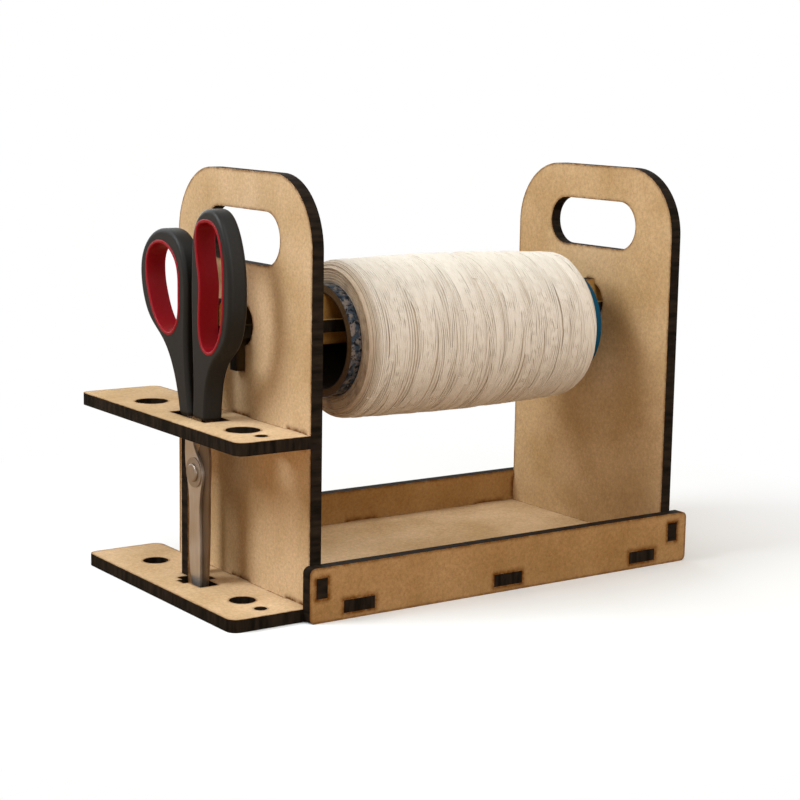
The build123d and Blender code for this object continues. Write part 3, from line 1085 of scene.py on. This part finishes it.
class ThreadTree(GeometryTree):
    """Threads that run round the spool and drift along it, each at its own slant and depth."""

    lane_pitch_in_radii: float = 2.7
    wave_radius: float = 12.0 * MM
    wave_noise: Noise = (75.0, 2.0)
    dip_noise: Noise = (8.0, 1.0)
    dip_stretch: float = 0.4
    bundle_level: float = 0.5
    thread_level: float = 0.1

    def shape(self) -> Signal:
        """Returns the threads as tubes."""
        graph, given = self.graph, self.given
        index = graph.take("GeometryNodeInputIndex")
        thread = graph.math("FLOOR", (index + 0.5) / given["points"])
        step = index - thread * given["points"]
        share = step / (given["points"] - 1.0)
        bundle = graph.math("FLOOR", (thread + 0.5) / given["bundle"])
        along = self.along(thread, bundle, share)
        angle = share * given["turns"] * math.tau + self.random(0.0, math.tau, bundle, Salt.PHASE)
        surface = self.surface(along, angle) + self.level(thread, bundle, share)
        place = self.around(given["start"] + along, surface, angle)
        return self.strands(given["threads"] * given["points"], place, thread, step, closed=False)

    def along(self, thread: Signal, bundle: Signal, share: Signal) -> Signal:
        """Finds how far along the yarn a point lies, folded back at the yarn's ends.

        Args:
            thread: the thread's number.
            bundle: the number of the bundle that it runs in.
            share: the point's share of its thread.

        Returns:
            The distance from the yarn's start.
        """
        given = self.given
        first = bundle * given["bundle"]
        side = (thread - first) * (given["radius"] * self.lane_pitch_in_radii)
        home = (first + 0.5) / given["threads"] * given["length"] + side
        jitter = self.random(-1.0, 1.0, bundle, Salt.JITTER) * given["jitter"]
        drifted = self.random(-1.0, 1.0, bundle, Salt.SLANT) * given["drift"] * (share - 0.5)
        reach = given["length"] - given["radius"]
        folded = self.graph.math("PINGPONG", home + jitter + drifted, reach)
        return self.graph.math("MAXIMUM", folded, given["radius"])

    def surface(self, along: Signal, angle: Signal) -> Signal:
        """Finds how far the yarn's waved surface lies from the spool's axis.

        Args:
            along: the point's distance along the yarn.
            angle: its angle round the spool.

        Returns:
            The distance from the axis.
        """
        graph, given = self.graph, self.given
        half = given["length"] * 0.5
        off_middle = (along - half) / half
        on_right = graph.math("GREATER_THAN", off_middle, 0.0)
        drop = given["left_drop"] + on_right * (given["right_drop"] - given["left_drop"])
        crown = given["middle_radius"] - drop * (off_middle * off_middle)
        near_end = graph.math("MINIMUM", along, given["length"] - along)
        waves = graph.noise(self.around(along, self.wave_radius, angle), *self.wave_noise) - 0.5
        return crown - self.rounding(given["edge_radius"] - near_end) + waves * given["wave_height"]

    def level(self, thread: Signal, bundle: Signal, share: Signal) -> Signal:
        """Finds how far a thread's middle lies above the surface, which is mostly less than zero.

        Args:
            thread: the thread's number.
            bundle: the number of the bundle that it runs in.
            share: the point's share of its thread.

        Returns:
            The height above the surface.
        """
        graph, given = self.graph, self.given
        lift = self.random(-self.bundle_level, self.bundle_level, bundle, Salt.BUNDLE_LEVEL)
        own = self.random(-self.thread_level, self.thread_level, thread, Salt.THREAD_LEVEL)
        spot = graph.take("ShaderNodeCombineXYZ", {0: share * self.dip_stretch, 1: bundle, 2: given["seed"]})
        dip = graph.noise(spot, *self.dip_noise) - 0.5
        return ((lift + own + dip) * given["unevenness"] - given["depth"]) * given["radius"]


class RingTree(GeometryTree):
    """Rings of thread that lie on both ends of the yarn."""

    sway_height: float = 0.45 * MM
    least_sway: float = 0.2
    bulge_out: float = 0.25 * MM
    bulge_in: float = 0.15 * MM

    def shape(self) -> Signal:
        """Returns the rings of both ends as tubes."""
        graph, given = self.graph, self.given
        index = graph.take("GeometryNodeInputIndex")
        ring = graph.math("FLOOR", (index + 0.5) / given["points"])
        step = index - ring * given["points"]
        far = graph.math("GREATER_THAN", ring + 0.5, given["rings"])
        share = (ring - far * given["rings"]) / (given["rings"] - 1.0)
        angle = step / given["points"] * math.tau
        inner = given["core_radius"] + given["groove"]
        end_radius = given["middle_radius"] - given["right_drop"]
        outer = end_radius - given["edge_radius"] * given["rounded_share"]
        phase = self.random(0.0, math.tau, ring, Salt.RING_PHASE)
        height = self.random(self.least_sway, 1.0, ring, Salt.RING_SWAY) * self.sway_height
        sway = graph.math("SINE", angle + phase) * height
        radius = inner + share * (outer - inner) + sway
        dropped = self.rounding(radius - (end_radius - given["edge_radius"]))
        first = given["start"] + given["end_inset"] + dropped
        last = given["start"] + given["length"] - given["end_inset"] - dropped
        bulge = self.random(-self.bulge_out, self.bulge_in, ring, Salt.RING_BULGE)
        place = self.around(first + far * (last - first) + bulge, radius, angle)
        return self.strands(given["rings"] * 2.0 * given["points"], place, ring, step, closed=True)


@dataclass
class Scissors:
    """The scissors that stand in the shelves."""

    nodes: dict[str, bpy.types.Object]

    def build(self) -> None:
        """Dresses the blades, the pivot, the handles and their liners."""
        plastic = MouldedFinish("handle_plastic").build()
        # The liner's pink rim is a painted highlight.
        liner = MouldedFinish(
            "liner_rubber",
            colour=(0.24, 0.0025, 0.010),
            fleck_and_highlight=(0.62, 0.075, 0.095),
            speckle_share=0.06,
            shine=0.12,
            smooth=0.30,
            rough=0.42,
            edge_radius=0.5 * MM,
        ).build()
        near = BladeFinish("near_blade_steel", (0.60, 0.54, 0.485), (0.38, 0.335, 0.295)).build()
        # The inner blade is steel like the outer one, painted dark brown: painted shade.
        far = BladeFinish("far_blade_painted_shade", (0.20, 0.145, 0.10), (0.11, 0.075, 0.05)).build()
        pivot = BladeFinish("pivot_steel", (0.40, 0.34, 0.29), (0.24, 0.195, 0.16)).build()
        finishes = (
            (plastic, ("small_handle", "large_handle")),
            (liner, ("small_handle_liner", "large_handle_liner")),
            (near, ("outer_blade",)),
            (far, ("inner_blade",)),
            (pivot, ("pivot_screw", "pivot_washer", "pivot_nut")),
        )
        for material, names in finishes:
            for name in names:
                dress(self.nodes[name], material)


@dataclass(frozen=True)
class Lamp:
    """A soft square lamp that looks at the rack."""

    name: str
    place: Triple
    size: float
    power: float
    colour: Triple
    aim: Triple = (0.0, 0.0, 0.1)

    def hang(self) -> None:
        """Adds the lamp to the scene."""
        data = bpy.data.lights.new(self.name, "AREA")
        data.shape = "SQUARE"
        data.size = self.size
        data.energy = self.power
        data.color = self.colour
        lamp = add_object(self.name, data)
        lamp.location = self.place
        towards = Vector(self.aim) - Vector(self.place)
        lamp.rotation_euler = towards.to_track_quat("-Z", "Y").to_euler()


@dataclass
class Studio:
    """The camera, the soft lights and the pale floor."""

    camera_place: Triple = (-0.545467, -0.798493, 0.246649)
    camera_turn: Triple = (80.42268, -1.19805, -35.88109)
    lens: float = 86.276
    sensor: float = 36.0
    shift: tuple[float, float] = (-0.062719, 0.000418)
    clip_start: float = 0.01
    floor_size: float = 8.0
    floor_drop: float = 0.05 * MM
    floor_clear: float = 0.15
    floor_fade: float = 0.34
    floor_seen: Triple = (0.93, 0.96, 1.0)
    ambient: Triple = (0.32, 0.235, 0.15)
    bounce: Triple = (0.46, 0.32, 0.20)
    lamps: tuple[Lamp, ...] = (
        Lamp("key", (-0.85, 0.22, 0.85), 0.5, 11.0, (0.91, 0.98, 1.0)),
        Lamp("top", (-0.10, -0.75, 0.95), 0.9, 7.5, (0.92, 0.98, 1.0)),
        Lamp("back", (-0.05, 1.15, 0.62), 1.1, 7.0, (0.91, 0.98, 1.0)),
        Lamp("front", (0.05, -1.25, 0.35), 0.9, 5.5, (1.0, 0.95, 0.88)),
    )

    def build(self) -> None:
        """Sets up the whole studio."""
        self.camera()
        self.floor()
        self.world()
        for lamp in self.lamps:
            lamp.hang()
        bpy.context.scene.view_settings.view_transform = "Standard"

    def camera(self) -> None:
        """Puts the camera where the photograph was taken from."""
        data = bpy.data.cameras.new("camera")
        data.lens = self.lens
        data.sensor_width = self.sensor
        data.shift_x, data.shift_y = self.shift
        data.clip_start = self.clip_start
        camera = add_object("camera", data)
        camera.location = self.camera_place
        camera.rotation_euler = [math.radians(angle) for angle in self.camera_turn]
        bpy.context.scene.camera = camera

    def floor(self) -> None:
        """Lays a white floor that fades into the white background."""
        mesh = bpy.data.meshes.new("floor")
        half = self.floor_size / 2
        corners = [(-half, -half, 0), (half, -half, 0), (half, half, 0), (-half, half, 0)]
        mesh.from_pydata(corners, [], [(0, 1, 2, 3)])
        floor = add_object("floor", mesh)
        floor.location.z = -self.floor_drop
        material = bpy.data.materials.new("floor_white")
        material.use_nodes = True
        graph = Graph(material.node_tree)
        place = graph.take("ShaderNodeTexCoord", output="Object")
        distance = graph.vector("LENGTH", place)
        fade = graph.remap(distance, self.floor_clear, self.floor_fade)
        seen = graph.take("ShaderNodeLightPath", output="Is Camera Ray")
        paint = graph.mix(seen, self.bounce, self.floor_seen)
        lit = graph.take("ShaderNodeBsdfDiffuse", {"Color": paint})
        white = graph.take("ShaderNodeEmission", {"Color": WHITE, "Strength": 1.0})
        mixed = graph.take("ShaderNodeMixShader", {0: fade * seen, 1: lit, 2: white})
        graph.node("ShaderNodeOutputMaterial", {"Surface": mixed})
        mesh.materials.append(material)

    def world(self) -> None:
        """Surrounds the scene with dim light that looks white to the camera and in reflections."""
        world = bpy.data.worlds.new("studio")
        bpy.context.scene.world = world
        world.use_nodes = True
        graph = Graph(world.node_tree)
        bright = graph.take("ShaderNodeLightPath", output="Is Camera Ray")
        for ray in ("Is Glossy Ray", "Is Transmission Ray"):
            bright = graph.math("MAXIMUM", bright, graph.take("ShaderNodeLightPath", output=ray))
        colour = graph.mix(bright, self.ambient, WHITE)
        background = graph.take("ShaderNodeBackground", {"Color": colour, "Strength": 1.0})
        graph.node("ShaderNodeOutputWorld", {"Surface": background})


def main() -> None:
    """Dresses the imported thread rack."""
    logging.basicConfig(level=logging.INFO, format="%(message)s")
    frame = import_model()
    nodes = frame["nodes"]
    Studio().build()
    RackFrame(nodes).build()
    Spool(nodes, SpoolPlace.measured()).build()
    Scissors(nodes).build()


if __name__ == "__main__":
    main()
